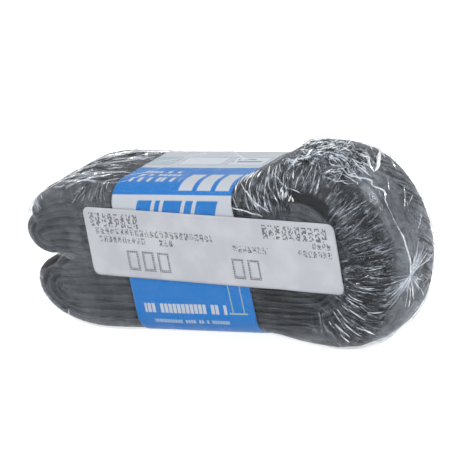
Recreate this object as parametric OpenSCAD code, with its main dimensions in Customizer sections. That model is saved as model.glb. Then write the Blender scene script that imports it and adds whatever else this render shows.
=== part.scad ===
// Bicycle inner tube, folded flat into a bundle round its valve, held by a paper band,
// sealed in clear shrink film and labelled. Millimetres.
// The bundle is drawn about its own level axis, then tilted so that its round end and its
// two-lobed end both rest on the table at z = 0.

/* [Bundle shape] */
// Height of the bundle at its waist, under the paper band
waist_h = 52.8; // [50:0.2:58]
// Height of the round end, which holds the valve
bulb_h = 68; // [64:0.5:76]
// Reach of the round end from the middle of the bundle
bulb_reach = 74.6; // [72:0.2:84]
// Place along the bundle of the round end's centre
bulb_x = 46; // [43:0.5:48]
// Reach of the two lobes from the middle of the bundle
lobe_reach = 71.3; // [68:0.1:80]
// Length of the lobes' curved end
lobe_l = 31.3; // [28:0.1:35]
// Height of each lobe's tip above or below the middle plane
lobe_tip_z = 9.1; // [8:0.1:11]
// Depth of the cleft between the lobes, from their tips
cleft_l = 13.3; // [12:0.1:15]
// Width of the cleft where it closes
cleft_gap = 0.8; // [0.4:0.1:1.2]
// Length of the pinched end of the cleft
cleft_pinch = 2; // [1:0.5:4]
// Place where the bundle starts to swell towards the round end
bulge_from = 18; // [16:0.5:20]
// Place where the round end reaches its full height
bulge_to = 42; // [38:0.5:43]
// Tilt of the bundle's axis when it rests on the table, in degrees
bundle_tilt = 5; // [3:0.1:7]
// How much the resting spots are flattened by the table
floor_press = 0.9; // [0.3:0.05:1]

/* [Edge rounding] */
// How far the long edges round inwards, seen from the front
edge_round = 7; // [5:0.5:8]
// How far the long edges round along the depth
edge_round_y = 8; // [6:0.5:10]
// The same inward rounding at the round end
bulb_round = 14.3; // [10:0.1:15]
// The same rounding along the depth at the round end
bulb_round_y = 18; // [14:0.5:19]
// Inward rounding along the cleft
cleft_round = 2; // [1:0.5:3]

/* [Tube body] */
// Width of the flattened tube
tube_flat_w = 37; // [34:0.5:44]
// Slack between each long edge of the tube and the wrapping
side_slack = 1.7; // [1.4:0.1:3]
// Thickness of the rubber wall
tube_wall = 0.85; // [0.7:0.05:0.9]
// Air left between the two walls
air_gap = 0.2; // [0.1:0.05:0.3]
// Height of the room between the middle layers that holds the valve
valve_room_h = 11.6; // [11:0.1:12.5]
// Height of that room at the round end, round the valve patch
turn_room_h = 14; // [13.5:0.1:15]
// Gap between the middle layers at the lobed end
mid_gap = 0.6; // [0.4:0.1:1]
// How far the middle layers spread apart into the cleft
cleft_spread = 1.2; // [0.8:0.1:1.6]
// Place of the last straight part of the layers before the round turn
turn_x = 41; // [39:0.5:42]
// Length of the upper lobe's nested folds, from its tip
upper_fold_l = 11.3; // [10:0.1:13]
// Distance from the upper lobe's tip to the fold of the short flap on its top
flap_l = 14.3; // [13:0.1:17]
// Length of the lower lobe's nested folds, from its tip
lower_fold_l = 15.3; // [14:0.1:17]

/* [Valve] */
// Length of the valve stem from the patch to its rim
stem_l = 48; // [44:0.5:48]
// Outside diameter of the stem's thread
thread_d = 7.7; // [7.5:0.05:7.8]
// Pitch of the stem's thread, 32 turns to the inch
thread_pitch = 0.794; // [0.7:0.001:0.9]
// Length of bare thread above the rubber
thread_l = 11.8; // [11.2:0.1:12.4]
// Depth of the thread's grooves
thread_depth = 0.35; // [0.2:0.05:0.45]
// Outside diameter of the rubber on the stem
sheath_d = 8; // [7.8:0.1:8.4]
// Diameter of the rubber foot where it meets the patch
foot_d = 11.4; // [10.5:0.1:11.8]
// Height of the flared rubber foot
foot_h = 9; // [7:0.5:12]
// Outside diameter of the brass tube inside the rubber
brass_d = 5.8; // [5.6:0.1:6.2]
// Diameter of the air bore through the stem
air_bore_d = 2.9; // [2.4:0.1:3.2]
// Diameter of the chamber round the core
chamber_d = 4.2; // [4.1:0.05:4.4]
// Depth of the core's thread below the rim
core_seat_depth = 7; // [6.5:0.1:7.5]
// Diameter of the core's thread
core_thread_d = 5.2; // [5.1:0.05:5.4]
// Diameter of the valve patch
patch_d = 22; // [18:0.5:26]
// Thickness of the valve patch
patch_t = 1.3; // [1:0.1:1.4]
// Gap for the glue between the patch and the tube
glue_gap = 0.4; // [0.4:0.05:0.5]

/* [Valve core] */
// Diameter of the pin
pin_d = 1.3; // [1.2:0.05:1.4]
// Diameter of the pin's flat head
pin_head_d = 1.9; // [1.8:0.05:2.2]
// How far the pin can be pressed
pin_travel = 1.5; // [1.2:0.1:1.5]
// Depth of the pin's head below the rim
pin_depth = 0.4; // [0.3:0.05:0.6]
// Outside diameter of the barrel
barrel_d = 3.9; // [3.8:0.05:4]
// Inside diameter of the barrel
barrel_bore_d = 2.8; // [2.7:0.05:2.9]
// Length of the barrel
barrel_l = 8.5; // [8:0.1:9]
// Wire diameter of the spring
spring_wire_d = 0.25; // [0.2:0.05:0.3]
// Turns of the spring
spring_turns = 7; // [5:1:9]

/* [Valve cap] */
// Outside diameter of the cap
cap_d = 9.4; // [9:0.1:9.6]
// Length of the cap
cap_l = 12.6; // [12:0.1:12.8]
// Thickness of the cap's closed end
cap_top_t = 1.45; // [1.2:0.05:1.8]
// Number of grip ribs round the cap
cap_ribs = 20; // [12:1:24]
// Diameter of each grip rib
rib_d = 0.7; // [0.5:0.05:0.8]
// Thickness of the rubber disc in the cap
cap_seal_t = 0.65; // [0.5:0.05:0.8]
// Turns that the cap has room to unscrew inside the bundle
cap_free_turns = 8; // [4:1:8]

/* [Wrapping] */
// Thickness of the shrink film
film_t = 0.2; // [0.15:0.05:0.25]
// Thickness of the paper
paper_t = 0.25; // [0.2:0.05:0.3]
// Width of the paper band
band_w = 49.3; // [40:0.1:50]
// Place of the band's left edge
band_left_x = -29.5; // [-32:0.1:-29.5]
// Height of the lap where the band's ends are glued
band_lap_h = 15; // [10:1:25]
// Length of the label
label_l = 101.6; // [90:0.1:104]
// Height of the label
label_h = 23.8; // [20:0.1:28]
// Radius of the label's corners
label_r = 2.5; // [1:0.1:5]
// Thickness of the label
label_t = 0.2; // [0.1:0.05:0.3]
// Place of the label's middle along the bundle
label_x = 8; // [6:0.5:9]
// Height of the label's middle above the bundle's axis
label_z = 4.9; // [2:0.1:6]
// Turn of the label against the bundle's axis, in degrees
label_turn = -2.7; // [-4:0.1:0]

/* [Hidden] */

smooth = 64;
clear = 0.05;
layers = 8;
layer_t = 2 * tube_wall + air_gap;
lining = film_t + 2 * paper_t + 2 * clear;
bundle_d = tube_flat_w + 2 * side_slack;
half_d = bundle_d / 2;
lobe_x = lobe_l - lobe_reach;
cleft_x = cleft_l - lobe_reach;
upper_fold_x = upper_fold_l - lobe_reach;
flap_x = flap_l - lobe_reach;
lower_fold_x = lower_fold_l - lobe_reach;
half_tube = tube_flat_w / 2;
// the flattened tube keeps its full thickness out to this share of its half width
shoulder = 0.72;
// rubber left at the flattened tube's long edges
air_edge = 2.2 * tube_wall;

cap_foot_s = stem_l + cap_seal_t + 2 * clear + cap_top_t - cap_l;
cap_lift = cap_free_turns * thread_pitch;
room_taper = 16;
room_margin = 1.5;

// ---------- outline of the wrapped bundle, seen from the front ----------

// smooth step from 0 at a to 1 at b
function ease(a, b, x) = let (t = max(0, min(1, (x - a) / (b - a)))) t * t * (3 - 2 * t);

// a value that is u at the waist and v at the round end
function towards_bulb(u, v, x) = u + (v - u) * ease(bulge_from, bulge_to, x);

// half height of the bundle, with the lobes' curve beyond lobe_x
function half_height(x) = x >= lobe_x
    ? towards_bulb(waist_h / 2, bulb_h / 2, x)
    : lobe_tip_z + (waist_h / 2 - lobe_tip_z)
        * sqrt(max(0, 1 - pow((lobe_x - x) / (lobe_x + lobe_reach), 2)));

function round_in(x) = towards_bulb(edge_round, bulb_round, x);
function round_y(x) = towards_bulb(edge_round_y, bulb_round_y, x);

arc_step = 9;
station_step = 3;
// the last station before the lobe lies this far outside the band's left edge
band_margin = 1;
top_xs = concat([for (x = [bulb_x : -station_step : bulge_from]) x],
    [0, band_left_x - band_margin, lobe_x]);

// upper half as [x, z, inward rounding, rounding along the depth], from the round end's tip
// to the cleft; f is the share of the rounding that is taken off and g a parallel offset
function upper_outline(f, g) = concat(
    [for (a = [0 : arc_step : 90 - arc_step]) [
        bulb_x + (bulb_reach - bulb_x - bulb_round * f - g) * cos(a),
        (bulb_h / 2 - bulb_round * f - g) * sin(a), bulb_round_y]],
    [for (x = top_xs) [x, half_height(x) - round_in(x) * f - g, round_y(x)]],
    [for (a = [arc_step : arc_step : 90]) [
        lobe_x - (lobe_x + lobe_reach - edge_round * f - g) * sin(a),
        lobe_tip_z + (waist_h / 2 - lobe_tip_z - edge_round * f - g) * cos(a), edge_round_y]],
    [for (a = [90 - arc_step : -arc_step : 0]) [
        cleft_x - (cleft_x + lobe_reach - edge_round * f - g) * sin(a),
        lobe_tip_z - (lobe_tip_z - cleft_gap / 2 - cleft_round * f - g) * cos(a), edge_round_y]]);

function whole_outline(f, g) = let (u = upper_outline(f, g)) concat(u,
    [[cleft_x + cleft_pinch + cleft_round * f + g, 0, edge_round_y]],
    [for (i = [len(u) - 1 : -1 : 1]) [u[i][0], -u[i][1], u[i][2]]]);

// ---------- how the bundle lies on the table ----------

function lean_x(x, z) = x * cos(bundle_tilt) - z * sin(bundle_tilt);
function lean_z(x, z) = x * sin(bundle_tilt) + z * cos(bundle_tilt);

base_outline = whole_outline(0, 0);
leant_xs = [for (p = base_outline) lean_x(p[0], p[1])];
leant_zs = [for (p = base_outline) lean_z(p[0], p[1])];
shift = [-(min(leant_xs) + max(leant_xs)) / 2, label_t / 2, -min(leant_zs) - floor_press];

module on_table() translate(shift) rotate([0, -bundle_tilt, 0]) children();

// ---------- layers of the folded tube ----------

// radius of the innermost turn at the round end, and of the valve patch inside it
inner_turn_r = turn_room_h / 2
    + 0.5 * (half_height(turn_x) - lining - turn_room_h / 2) / layers;
patch_r = inner_turn_r - layer_t / 2 - glue_gap;
patch_in_r = patch_r - patch_t;
stem_base_x = turn_x + patch_in_r;
// the room for the valve ends just past the cap when the cap is unscrewed
room_end_x = stem_base_x - cap_foot_s - cap_l - cap_lift - room_margin;

// how far the bundle's surface falls back at depth y
function crown(x, y) = let (s = (abs(y) - half_d + round_y(x)) / round_y(x))
    s <= 0 ? 0 : round_in(x) * (1 - sqrt(1 - min(1, s * s)));

// length over which the middle layers spread apart into the cleft
cleft_spread_l = 8;

// half height of the room between the middle layers
function room(x) = mid_gap / 2
    + (valve_room_h - mid_gap) / 2 * ease(room_end_x - room_taper, room_end_x, x)
    + (turn_room_h - valve_room_h) / 2 * ease(bulge_from, turn_x, x)
    + cleft_spread * ease(cleft_x + cleft_spread_l, cleft_x, x);

// middle height of layer i, which is 1 to 8 above the middle plane and -1 to -8 below it
function layer_z(i, x, y) = let (r = room(x))
    sign(i) * (r + (abs(i) - 0.5) * (half_height(x) - crown(x, y) - lining - r) / layers);

// the one closed ring of tube runs through the layers in this order, and turns by turns at the
// lobed end and the round end
fold_order = [1, 6, -6, -3, 3, 4, -4, -5, 5, 2, -2, -7, 7, 8, -8, -1];
flap_layer = 7;
// roundness of the flap's fold: its reach over the half height of its nest
flap_reach = 1.6;

function fold_x(i) = i < 0 ? lower_fold_x : i >= flap_layer ? flap_x : upper_fold_x;

run_steps = 15;
fold_steps = 6;
turn_steps = 8;

function run(i, y, leftward) = [for (k = [0 : run_steps])
    let (u = leftward ? 1 - k / run_steps : k / run_steps, x = fold_x(i) + (turn_x - fold_x(i)) * u)
    [x, layer_z(i, x, y)]];

// outermost layers of the nest that layer i folds in
function nest(i) = i < 0 ? [-1, -layers] : i >= flap_layer ? [flap_layer, layers]
    : [1, flap_layer - 1];

// a fold at the lobed end, from layer a to layer b
function fold(a, b, y) = let (
        x = fold_x(a),
        za = layer_z(a, x, y),
        mid = (za + layer_z(b, x, y)) / 2,
        n = nest(a),
        nest_r = abs(layer_z(n[1], x, y) - layer_z(n[0], x, y)) / 2,
        flap = a >= flap_layer,
        reach = flap ? flap_reach * nest_r
            : lobe_reach - lining - layer_t / 2 - crown(lobe_x, y) + x,
        lean = flap ? 0 : sign(a) * lobe_tip_z - mid,
        share = abs(za - mid) / nest_r)
    [for (k = [1 : fold_steps - 1]) let (q = 180 * k / fold_steps)
        [x - reach * share * sin(q), mid + (za - mid) * cos(q) + lean * share * sin(q)]];

// a turn at the round end, from layer a to its partner on the other side
function turn(a, y) = let (
        za = layer_z(a, turn_x, y),
        first = abs(layer_z(1, turn_x, y)),
        last = bulb_reach - lining - layer_t / 2 - crown(bulb_x, y) - turn_x,
        reach = first + (last - first) * (abs(a) - 1) / (layers - 1))
    [for (k = [1 : turn_steps - 1]) let (q = 180 * k / turn_steps)
        [turn_x + reach * sin(q), za * cos(q)]];

// middle line of the whole ring at depth y
function ring_path(y) = [for (k = [0 : len(fold_order) - 1])
    let (a = fold_order[k], b = fold_order[(k + 1) % len(fold_order)], leftward = k % 2 == 0)
    each concat(run(a, y, leftward), leftward ? fold(a, b, y) : turn(a, y))];

function unit_normal(path, k) = let (
        n = len(path),
        t = path[(k + 1) % n] - path[(k + n - 1) % n])
    [-t[1], t[0]] / norm(t);

function at_depth(p, y) = [p[0], y, p[1]];

centre_path = ring_path(0);
shoulder_path = ring_path(half_tube * shoulder);
edge_path = ring_path(half_tube);

// closed ribbon with eight corners to each cross-section
module ribbon(thickness, half_w) {
    ys = half_tube * shoulder;
    u = (half_w - ys) / (half_tube - ys);
    n = len(centre_path);
    points = [for (k = [0 : n - 1]) let (
            c = centre_path[k], nc = unit_normal(centre_path, k) * thickness / 2,
            s = shoulder_path[k], ns = unit_normal(shoulder_path, k) * thickness / 2,
            e = s + (edge_path[k] - s) * u)
        each [at_depth(e, -half_w), at_depth(s + ns, -ys), at_depth(c + nc, 0),
            at_depth(s + ns, ys), at_depth(e, half_w), at_depth(s - ns, ys),
            at_depth(c - nc, 0), at_depth(s - ns, -ys)]];
    faces = [for (k = [0 : n - 1], j = [0 : 7]) let (
            a = 8 * k + j, b = 8 * k + (j + 1) % 8,
            c = 8 * ((k + 1) % n) + (j + 1) % 8, d = 8 * ((k + 1) % n) + j)
        each [[a, b, c], [a, c, d]]];
    polyhedron(points, faces);
}

module tube_body() color([0.13, 0.13, 0.14]) on_table() difference() {
    ribbon(layer_t, half_tube);
    ribbon(air_gap, half_tube - air_edge);
    translate([turn_x, 0, 0]) rotate([0, 90, 0])
        cylinder(h = inner_turn_r, d = air_bore_d, $fn = smooth);
}

// ---------- valve, drawn up +Z from the patch ----------

rubber_end_s = stem_l - thread_l;
foot_edge_h = 1.8;
foot_edge_slope = 0.5;
foot_neck_h = 5;
foot_neck_flare = 0.6;
// width of a thread groove's slope over the pitch
groove_share = 0.4;
brass_foot_s = 1.5;
brass_foot_d = 6.8;
brass_foot_t = 0.5;
rim_bevel = 0.4;
patch_from_x = turn_x + 1.5;

// core, from the plug down to the cup
plug_s = stem_l - core_seat_depth + 6 * clear;
barrel_s = plug_s - barrel_l;
collar_depth = 1.7;
lip_t = 0.6;
collar_s = plug_s - collar_depth;
collar_t = 0.6;
pin_bore_d = pin_d + 3 * clear;
pin_top_s = stem_l - pin_depth;
head_t = 0.6;
flat_depth = 1.2;
plug_l = pin_top_s - head_t - pin_travel - 4 * clear - plug_s;
cup_t = 0.9;
cup_seal_t = 0.5;
cup_s = barrel_s - clear - cup_seal_t - cup_t;
// the chamber leaves this much room under the pressed cup
cup_room = 0.75;
chamber_s = cup_s - pin_travel - cup_room;
gasket_h = 1.6;
wrench_flat = 1.3;

module along_stem() on_table() translate([stem_base_x, 0, 0]) rotate([0, -90, 0]) children();

// tube with an outside and an inside diameter, from s0 to s1 along the stem
module pipe(outer_d, inner_d, s0, s1) translate([0, 0, s0]) difference() {
    cylinder(h = s1 - s0, d = outer_d, $fn = smooth);
    translate([0, 0, -clear]) cylinder(h = s1 - s0 + 2 * clear, d = inner_d, $fn = smooth);
}

module valve_patch() color([0.1, 0.1, 0.11]) on_table() difference() {
    intersection() {
        translate([turn_x, 0, 0]) rotate([90, 0, 0])
            linear_extrude(patch_d, center = true) difference() {
                circle(r = patch_r, $fn = smooth);
                circle(r = patch_in_r, $fn = smooth);
            }
        translate([patch_from_x, 0, 0]) rotate([0, 90, 0])
            cylinder(h = patch_r, d = patch_d, $fn = smooth);
    }
    translate([turn_x, 0, 0]) rotate([0, 90, 0])
        cylinder(h = inner_turn_r, d = air_bore_d, $fn = smooth);
}

module valve_sheath() color([0.12, 0.12, 0.13]) difference() {
    pocket_r = brass_foot_d / 2 + clear;
    pocket_top = brass_foot_s + brass_foot_t + clear;
    along_stem() rotate_extrude($fn = smooth) polygon([
        [air_bore_d / 2, clear], [foot_d / 2, clear], [foot_d / 2 - foot_edge_slope, foot_edge_h],
        [sheath_d / 2 + foot_neck_flare, foot_neck_h], [sheath_d / 2, foot_h],
        [sheath_d / 2, rubber_end_s], [brass_d / 2 + clear, rubber_end_s],
        [brass_d / 2 + clear, pocket_top], [pocket_r, pocket_top],
        [pocket_r, brass_foot_s - clear], [air_bore_d / 2, brass_foot_s - clear]]);
    on_table() translate([turn_x, 0, 0]) difference() {
        translate([0, -foot_d, -foot_d]) cube([2 * foot_d, 2 * foot_d, 2 * foot_d]);
        rotate([90, 0, 0])
            cylinder(h = 3 * foot_d, r = patch_in_r - clear, center = true, $fn = smooth);
    }
}

// grooved outside of the stem's thread, as [radius, height] points
function thread_profile(d, s0, s1) = let (n = floor((s1 - s0 - thread_pitch) / thread_pitch))
    [for (k = [0 : n - 1], c = [0 : 2]) let (s = s0 + thread_pitch * (k + 0.5))
        [d / 2 - (c == 1 ? thread_depth : 0), s + thread_pitch * groove_share * c]];

module valve_stem() color([0.78, 0.64, 0.32]) along_stem() difference() {
    union() {
        rotate_extrude($fn = smooth) polygon(concat(
            [[0, rubber_end_s + clear], [thread_d / 2, rubber_end_s + clear]],
            thread_profile(thread_d, rubber_end_s + clear, stem_l),
            [[thread_d / 2, stem_l - rim_bevel], [thread_d / 2 - rim_bevel, stem_l],
                [0, stem_l]]));
        translate([0, 0, brass_foot_s])
            cylinder(h = rubber_end_s - brass_foot_s + 2 * clear, d = brass_d, $fn = smooth);
        translate([0, 0, brass_foot_s]) cylinder(h = brass_foot_t, d = brass_foot_d, $fn = smooth);
    }
    cylinder(h = stem_l, d = air_bore_d, $fn = smooth);
    translate([0, 0, chamber_s]) cylinder(h = stem_l, d = chamber_d, $fn = smooth);
    translate([0, 0, stem_l - core_seat_depth])
        cylinder(h = stem_l, d = core_thread_d, $fn = smooth);
}

module core_plug() color([0.8, 0.67, 0.36]) along_stem() difference() {
    translate([0, 0, plug_s]) cylinder(h = plug_l, d = core_thread_d - 2 * clear, $fn = smooth);
    cylinder(h = stem_l, d = pin_bore_d, $fn = smooth);
    for (side = [-1, 1])
        translate([side * (wrench_flat + core_thread_d / 2), 0, plug_s + plug_l])
            cube([core_thread_d, 2 * core_thread_d, 2 * flat_depth], center = true);
}

module core_barrel() color([0.76, 0.62, 0.32]) along_stem() {
    pipe(barrel_d, barrel_bore_d, barrel_s + lip_t, plug_s);
    pipe(barrel_d, pin_bore_d, barrel_s, barrel_s + lip_t);
}

module core_gasket() color([0.75, 0.2, 0.15]) along_stem() rotate_extrude($fn = smooth) polygon([
    [barrel_d / 2 + clear / 2, plug_s - gasket_h], [chamber_d / 2 - clear / 2, plug_s - gasket_h],
    [chamber_d / 2 - clear / 2, plug_s - 5 * clear], [core_thread_d / 2 - clear, plug_s - 5 * clear],
    [core_thread_d / 2 - clear, plug_s - clear / 2], [barrel_d / 2 + clear / 2, plug_s - clear / 2]]);

// a coil of round wire between the barrel's lip and the pin's collar
module core_spring() color([0.7, 0.71, 0.73]) along_stem() {
    wire_r = spring_wire_d / 2;
    coil_r = (barrel_bore_d + pin_d) / 4;
    s0 = barrel_s + lip_t + wire_r + clear;
    s1 = collar_s - wire_r - clear;
    rings = 12 * spring_turns;
    sides = 6;
    points = [for (k = [0 : rings], j = [0 : sides - 1])
        let (a = 360 * spring_turns * k / rings, b = 360 * j / sides, r = coil_r + wire_r * cos(b))
        [r * cos(a), r * sin(a), s0 + (s1 - s0) * k / rings + wire_r * sin(b)]];
    walls = [for (k = [0 : rings - 1], j = [0 : sides - 1]) let (
            a = sides * k + j, b = sides * k + (j + 1) % sides)
        each [[a, b, b + sides], [a, b + sides, a + sides]]];
    ends = [[for (j = [sides - 1 : -1 : 0]) j], [for (j = [0 : sides - 1]) sides * rings + j]];
    polyhedron(points, concat(walls, ends));
}

module core_pin() color([0.74, 0.6, 0.3]) along_stem() {
    translate([0, 0, cup_s + cup_t / 2])
        cylinder(h = pin_top_s - cup_s - cup_t / 2, d = pin_d, $fn = smooth);
    translate([0, 0, pin_top_s - head_t]) cylinder(h = head_t, d = pin_head_d, $fn = smooth);
    translate([0, 0, collar_s])
        cylinder(h = collar_t, d = barrel_bore_d - 6 * clear, $fn = smooth);
}

module core_cup() color([0.76, 0.62, 0.32]) along_stem() difference() {
    translate([0, 0, cup_s]) cylinder(h = cup_t, d = barrel_d - 4 * clear, $fn = smooth);
    translate([0, 0, cup_s + cup_t / 2]) cylinder(h = cup_t, d = pin_d, $fn = smooth);
}

module cup_seal() color([0.16, 0.16, 0.17]) along_stem()
    pipe(barrel_d - 4 * clear, pin_d, cup_s + cup_t, cup_s + cup_t + cup_seal_t);

cap_bevel = 1.1;
rib_margin = 1.6;

module valve_cap() color([0.09, 0.09, 0.1]) along_stem() difference() {
    union() {
        translate([0, 0, cap_foot_s]) rotate_extrude($fn = smooth) polygon([
            [0, 0], [cap_d / 2, 0], [cap_d / 2, cap_l - cap_bevel], [cap_d / 2 - cap_bevel, cap_l],
            [0, cap_l]]);
        for (k = [0 : cap_ribs - 1]) rotate([0, 0, 360 * k / cap_ribs])
            translate([cap_d / 2 - clear, 0, cap_foot_s + rib_margin])
                cylinder(h = cap_l - 2 * rib_margin, d = rib_d, $fn = 16);
    }
    translate([0, 0, cap_foot_s - clear])
        cylinder(h = cap_l - cap_top_t + clear, d = thread_d + 2 * clear, $fn = smooth);
}

module cap_seal() color([0.2, 0.2, 0.21]) along_stem() translate([0, 0, stem_l + clear])
    cylinder(h = cap_seal_t, d = thread_d - 2 * clear, $fn = smooth);

// ---------- wrapping ----------

// steps of the angle round the long rounded edges
row_step = 15;

// outline of the band's cross-section, seen along the bundle, at g inside the film's face
module band_section(g) polygon([
    for (q = [[1, 1], [1, -1], [-1, -1], [-1, 1]], a = [0 : row_step : 90])
        let (b = q[0] == q[1] ? a : 90 - a)
        [q[0] * (half_d - g - edge_round_y * (1 - sin(b))),
            q[1] * (waist_h / 2 - g - edge_round * (1 - cos(b)))]]);

// the strip closed to a loop, with its glued lap on the inside at the back
module paper_band() color([0.12, 0.42, 0.78]) on_table()
    translate([band_left_x, 0, 0]) rotate([90, 0, 90]) linear_extrude(band_w) difference() {
        band_section(film_t + clear);
        difference() {
            band_section(film_t + clear + paper_t);
            translate([half_d - film_t - clear - 2 * paper_t, -band_lap_h / 2])
                square([2 * paper_t, band_lap_h]);
        }
    }

// a closed skin whose rows run from the front face over the rounded edge to the back face
skin_rows = concat([for (a = [90 : -row_step : 0]) [-1, a]], [for (a = [0 : row_step : 90]) [1, a]]);

module skin(g) {
    rows = [for (r = skin_rows) [for (p = whole_outline(1 - cos(r[1]), g))
        [lean_x(p[0], p[1]) + shift[0],
            r[0] * (half_d - g - p[2] + p[2] * sin(r[1])) + shift[1],
            max(g, lean_z(p[0], p[1]) + shift[2])]]];
    n = len(rows[0]);
    m = len(rows);
    walls = [for (k = [0 : m - 2], i = [0 : n - 1]) let (
            a = n * k + i, b = n * k + (i + 1) % n)
        each [[a, b, b + n], [a, b + n, a + n]]];
    front = [[for (i = [n - 1 : -1 : 0]) i]];
    back = [[for (i = [0 : n - 1]) n * (m - 1) + i]];
    polyhedron([for (r = rows) each r], concat(walls, front, back));
}

module shrink_film() color([0.85, 0.87, 0.9, 0.35]) difference() {
    skin(0);
    skin(film_t);
}

module price_label() color([0.86, 0.86, 0.87]) on_table()
    translate([label_x, -half_d, label_z]) rotate([0, -label_turn, 0]) rotate([90, 0, 0])
        linear_extrude(label_t) {
            square([label_l - 2 * label_r, label_h], center = true);
            square([label_l, label_h - 2 * label_r], center = true);
            for (sx = [-1, 1], sy = [-1, 1])
                translate([sx * (label_l / 2 - label_r), sy * (label_h / 2 - label_r)])
                    circle(r = label_r, $fn = smooth);
        }

tube_body();
valve_patch();
valve_sheath();
valve_stem();
core_plug();
core_barrel();
core_gasket();
core_spring();
core_pin();
core_cup();
cup_seal();
valve_cap();
cap_seal();
paper_band();
shrink_film();
price_label();
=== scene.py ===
"""Looks of a folded, banded and shrink-wrapped bicycle inner tube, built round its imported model.

Shapes are worked out in millimetres in the bundle's own level frame, as in the part's source, and
are then tilted and moved onto the table by to_world().
"""
import math

import bpy
import numpy as np
from mathutils import Matrix, Vector
from mathutils.bvhtree import BVHTree
from mathutils.geometry import delaunay_2d_cdt
from mathutils.kdtree import KDTree


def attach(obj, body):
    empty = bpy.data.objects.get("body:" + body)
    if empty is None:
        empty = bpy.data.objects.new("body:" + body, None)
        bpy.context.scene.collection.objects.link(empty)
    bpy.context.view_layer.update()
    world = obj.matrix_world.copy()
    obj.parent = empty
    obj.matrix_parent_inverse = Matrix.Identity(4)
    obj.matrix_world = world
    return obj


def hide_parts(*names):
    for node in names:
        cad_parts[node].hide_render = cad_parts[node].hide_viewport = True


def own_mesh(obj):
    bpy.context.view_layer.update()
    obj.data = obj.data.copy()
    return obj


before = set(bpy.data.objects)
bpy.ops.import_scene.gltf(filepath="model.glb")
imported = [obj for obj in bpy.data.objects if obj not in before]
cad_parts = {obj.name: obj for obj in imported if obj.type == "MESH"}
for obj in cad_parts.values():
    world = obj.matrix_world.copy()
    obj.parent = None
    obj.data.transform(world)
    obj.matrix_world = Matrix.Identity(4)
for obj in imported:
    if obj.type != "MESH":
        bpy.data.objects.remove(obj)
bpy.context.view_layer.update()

# ---------- sizes repeated from the part's source, in millimetres ----------
# The lobes' ends are drawn a little fuller here, and the round end's lower edge a little rounder.
WAIST_H, BULB_H, BUNDLE_D = 52.8, 68.0, 40.4
BULB_REACH, BULB_X, LOBE_REACH, LOBE_X, LOBE_TIP_Z = 74.6, 46.0, 73.6, -44.5, 9.1
LOWER_EDGE = 0.16
CLEFT_X, CLEFT_GAP, CLEFT_PINCH = -55.5, 0.8, 2.0
BULGE_FROM, BULGE_TO, TILT = 18.0, 42.0, math.radians(5)
EDGE_ROUND, EDGE_ROUND_Y, BULB_ROUND, BULB_ROUND_Y, CLEFT_ROUND = 7.0, 8.0, 14.3, 18.0, 2.0
SHIFT = np.array([-1.3036, 0.1, 29.3354])
TUBE_W, TUBE_T, LINING, LINING_FREE = 39.0, 1.9, 0.8, 0.35
FILM_T, CLEAR, PAPER_T = 0.2, 0.05, 0.25
BAND_X, BAND_W = -29.5, 49.3
LABEL_L, LABEL_H, LABEL_R, LABEL_T = 101.6, 23.8, 2.5, 0.2
LABEL_X, LABEL_Z, LABEL_TURN = 8.0, 4.9, math.radians(-2.7)
HALF_D = BUNDLE_D / 2
MM = 0.001


def ease(a, b, x):
    t = np.clip((x - a) / (b - a), 0, 1)
    return t * t * (3 - 2 * t)


def between(a, b, c, d, x):
    """1 from b to c, fading to 0 at a and at d."""
    return ease(a, b, x) * (1 - ease(c, d, x))


def towards_bulb(u, v, x):
    return u + (v - u) * ease(BULGE_FROM, BULGE_TO, x)


def lower_edge(x):
    """How much more the lower edges are rounded than the upper ones."""
    return 1 + LOWER_EDGE * ease(BULGE_FROM, BULGE_TO, x)


def half_height(x):
    x = np.asarray(x, float)
    lobe = np.sqrt(np.clip(1 - ((LOBE_X - x) / (LOBE_X + LOBE_REACH)) ** 2, 0, 1))
    return np.where(x >= LOBE_X, towards_bulb(WAIST_H / 2, BULB_H / 2, x),
                    LOBE_TIP_Z + (WAIST_H / 2 - LOBE_TIP_Z) * lobe)


def to_world(p):
    """Points of the bundle's level frame, in mm, as points of the part's frame, in metres."""
    c, s = math.cos(TILT), math.sin(TILT)
    p = np.asarray(p, float)
    q = np.stack([p[:, 0] * c - p[:, 2] * s, p[:, 1], p[:, 0] * s + p[:, 2] * c], 1) + SHIFT
    return q * MM


def to_bundle(q):
    c, s = math.cos(TILT), math.sin(TILT)
    q = np.asarray(q, float) / MM - SHIFT
    return np.stack([q[:, 0] * c + q[:, 2] * s, q[:, 1], -q[:, 0] * s + q[:, 2] * c], 1)


def on_table(points):
    """Points with none below the table."""
    points = np.array(points, float)
    points[:, 2] = np.maximum(points[:, 2], 0)
    return points


# ---------- smooth noise ----------
def hashed(i, j, k, seed):
    n = (i * 374761393 + j * 668265263 + k * 1440662683 + seed * 1274126177) & 0xFFFFFFFF
    n = ((n ^ (n >> 13)) * 1274126177) & 0xFFFFFFFF
    n = ((n ^ (n >> 15)) * 2246822519) & 0xFFFFFFFF
    return ((n ^ (n >> 16)) & 0xFFFFFF) / 0xFFFFFF


def noise(p, seed=0):
    """Value noise from -1 to 1 at points p, one lattice cell to each unit."""
    p = np.asarray(p, float)
    i = np.floor(p).astype(np.int64)
    f = p - i
    f = f * f * (3 - 2 * f)
    total = 0
    for a in (0, 1):
        for b in (0, 1):
            for c in (0, 1):
                w = ((f[:, 0] if a else 1 - f[:, 0]) * (f[:, 1] if b else 1 - f[:, 1])
                     * (f[:, 2] if c else 1 - f[:, 2]))
                total = total + w * hashed(i[:, 0] + a, i[:, 1] + b, i[:, 2] + c, seed)
    return total * 2 - 1


def layered(p, seed=0, octaves=3):
    """Several octaves of noise, about -1 to 1."""
    total, size = 0, 1.0
    for o in range(octaves):
        total = total + size * noise(np.asarray(p) * 2 ** o, seed + 7 * o)
        size /= 2
    return total / (2 - 2 * size)


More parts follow.
